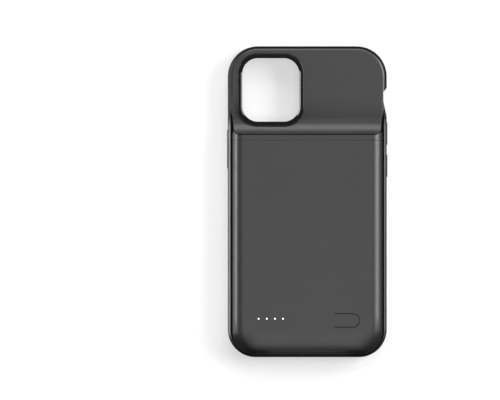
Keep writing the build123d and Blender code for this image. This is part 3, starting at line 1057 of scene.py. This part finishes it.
@dataclass
class Studio:
    """Pale floor, black card and soft lamps around the case."""

    floor_half: float = 6.0
    floor_drop: float = 0.05 * MM
    floor_colour: float = 0.9
    floor_glow: float = 0.5
    paper_size: float = 4 * MM
    paper_drift: float = 0.01
    world_level: float = 0.15
    flag_reach: float = 48 * MM
    flag_end: float = 90 * MM
    flag_bends: tuple[FlagBend, ...] = (
        FlagBend(side=1, end=1, first=90, last=0, radius=22 * MM),
        FlagBend(side=1, end=-1, first=0, last=-90, radius=31 * MM),
        FlagBend(side=-1, end=-1, first=-90, last=-155, radius=31 * MM),
    )
    flag_height: float = 11.5 * MM
    # The card is taller past these lines, at the two lower corners.
    flag_tall_height: float = 22 * MM
    flag_tall_x: float = 22 * MM
    flag_tall_y: float = -70 * MM
    felt_size: float = 1 * MM
    felt_dark: float = 0.002
    felt_pale: float = 0.004
    aim: Vector = field(default_factory=lambda: Vector((0.0, 0.0, 10 * MM)))
    lamps: tuple[Softbox, ...] = (
        Softbox("overhead_far", azimuth=90.0, elevation=78.0, width=1.0, height=0.42, radiance=2.1),
        Softbox("overhead_near", azimuth=270.0, elevation=78.0, width=1.0, height=0.42, radiance=4.0),
        Softbox("right_box", azimuth=17.0, elevation=27.0, width=1.4, height=1.5, radiance=8.7),
        Softbox("left_strip", azimuth=166.0, elevation=5.5, width=1.6, height=0.35, radiance=21.0),
        Softbox("far_box", azimuth=90.0, elevation=31.0, width=1.6, height=1.2, radiance=3.8),
        Softbox("near_box", azimuth=270.0, elevation=46.0, width=1.2, height=0.9, radiance=0.75),
    )

    def build(self) -> None:
        """Lay the floor, stand the card, hang the lamps and set the sky."""
        self.lay_floor()
        self.stand_flag()
        for lamp in self.lamps:
            lamp.hang(self.aim)
        world = bpy.data.worlds.new("studio")
        world.use_nodes = True
        backdrop = world.node_tree.nodes["Background"]
        backdrop.inputs["Color"].default_value = (1.0, 1.0, 1.0, 1.0)
        backdrop.inputs["Strength"].default_value = self.world_level
        bpy.context.scene.world = world

    def stand_flag(self) -> None:
        """Stand a card round three sides and the lower corners, which only reflections show."""
        reach = Vector((self.flag_reach, self.flag_end, 0.0))
        path = [Vector((-reach.x, reach.y, 0.0))]
        for bend in self.flag_bends:
            path.extend(bend.points(reach))
        mesh = bmesh.new()
        low = [mesh.verts.new(point) for point in path]
        edges = [mesh.edges.new(pair) for pair in zip(low, low[1:])]
        grown = bmesh.ops.extrude_edge_only(mesh, edges=edges)["geom"]
        top = [item for item in grown if isinstance(item, bmesh.types.BMVert)]
        for corner in top:
            tall = abs(corner.co.x) > self.flag_tall_x and corner.co.y < self.flag_tall_y
            corner.co.z = self.flag_tall_height if tall else self.flag_height
        flag = add_object("flag", mesh)
        bench = NodeBench("flag_felt")
        bench.fix(Roughness=1.0, Specular_IOR_Level=0.0)
        felt = bench.noise(self.felt_size)
        bench.feed(Base_Color=bench.tint(felt, grey(self.felt_dark), grey(self.felt_pale)))
        flag.data.materials.append(bench.material)
        flag.visible_camera = False
        flag.visible_shadow = False

    def lay_floor(self) -> None:
        """Lay a plain pale floor just under the rim."""
        mesh = bmesh.new()
        bmesh.ops.create_grid(mesh, x_segments=1, y_segments=1, size=self.floor_half)
        bmesh.ops.translate(mesh, verts=mesh.verts, vec=(0.0, 0.0, -self.floor_drop))
        floor = add_object("floor", mesh)
        bench = NodeBench("floor_paper")
        bench.fix(Roughness=0.9, Specular_IOR_Level=0.1)
        paper = bench.noise(self.paper_size)
        pale = grey(self.floor_colour)
        tints = (shade(pale, -self.paper_drift), shade(pale, self.paper_drift))
        bench.feed(Base_Color=bench.tint(paper, *tints))
        self.whiten(bench)
        floor.data.materials.append(bench.material)

    def whiten(self, bench: NodeBench) -> None:
        """Lift the paper towards white where it is seen, and leave the light on the case alone.

        Args:
            bench: Bench that holds the paper's material.
        """
        nodes = bench.tree.nodes
        path = nodes.new("ShaderNodeLightPath")
        seen = path.outputs["Is Camera Ray"]
        for name in ("Is Glossy Ray", "Is Transmission Ray"):
            seen = bench.math(Op.MAXIMUM, seen, path.outputs[name])
        white = nodes.new("ShaderNodeEmission")
        blend = nodes.new("ShaderNodeMixShader")
        bench.link(bench.span(seen, 0.0, self.floor_glow), blend.inputs["Fac"])
        bench.link(bench.shader.outputs["BSDF"], blend.inputs[1])
        bench.link(white.outputs["Emission"], blend.inputs[2])
        bench.link(blend.outputs["Shader"], nodes["Material Output"].inputs["Surface"])


@dataclass(frozen=True)
class OverheadCamera:
    """Camera straight above the case, with a long lens."""

    frame_width: float = 261.8 * MM
    centre_x: float = -30.0 * MM
    centre_y: float = 0.88 * MM
    focus_z: float = 10.0 * MM
    lens: float = 600.0
    sensor: float = 36.0

    def build(self) -> None:
        """Set up the camera and make it the scene's own."""
        data = bpy.data.cameras.new("camera")
        data.lens = self.lens
        data.sensor_width = self.sensor
        camera = bpy.data.objects.new("camera", data)
        height = self.focus_z + self.frame_width * self.lens / self.sensor
        camera.location = (self.centre_x, self.centre_y, height)
        bpy.context.scene.collection.objects.link(camera)
        bpy.context.scene.camera = camera


def main() -> None:
    """Load the case, dress it, light it and set up the camera."""
    logging.basicConfig(level=logging.INFO, format="%(name)s: %(message)s")
    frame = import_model()
    bpy.context.scene.view_settings.view_transform = "Standard"
    wardrobe = Wardrobe(frame["record"])
    for group in (Shell, SideKeys, PowerPack, ControlBoard, Dock):
        group(frame["nodes"], wardrobe).assemble()
    Studio().build()
    OverheadCamera().build()


if __name__ == "__main__":
    main()
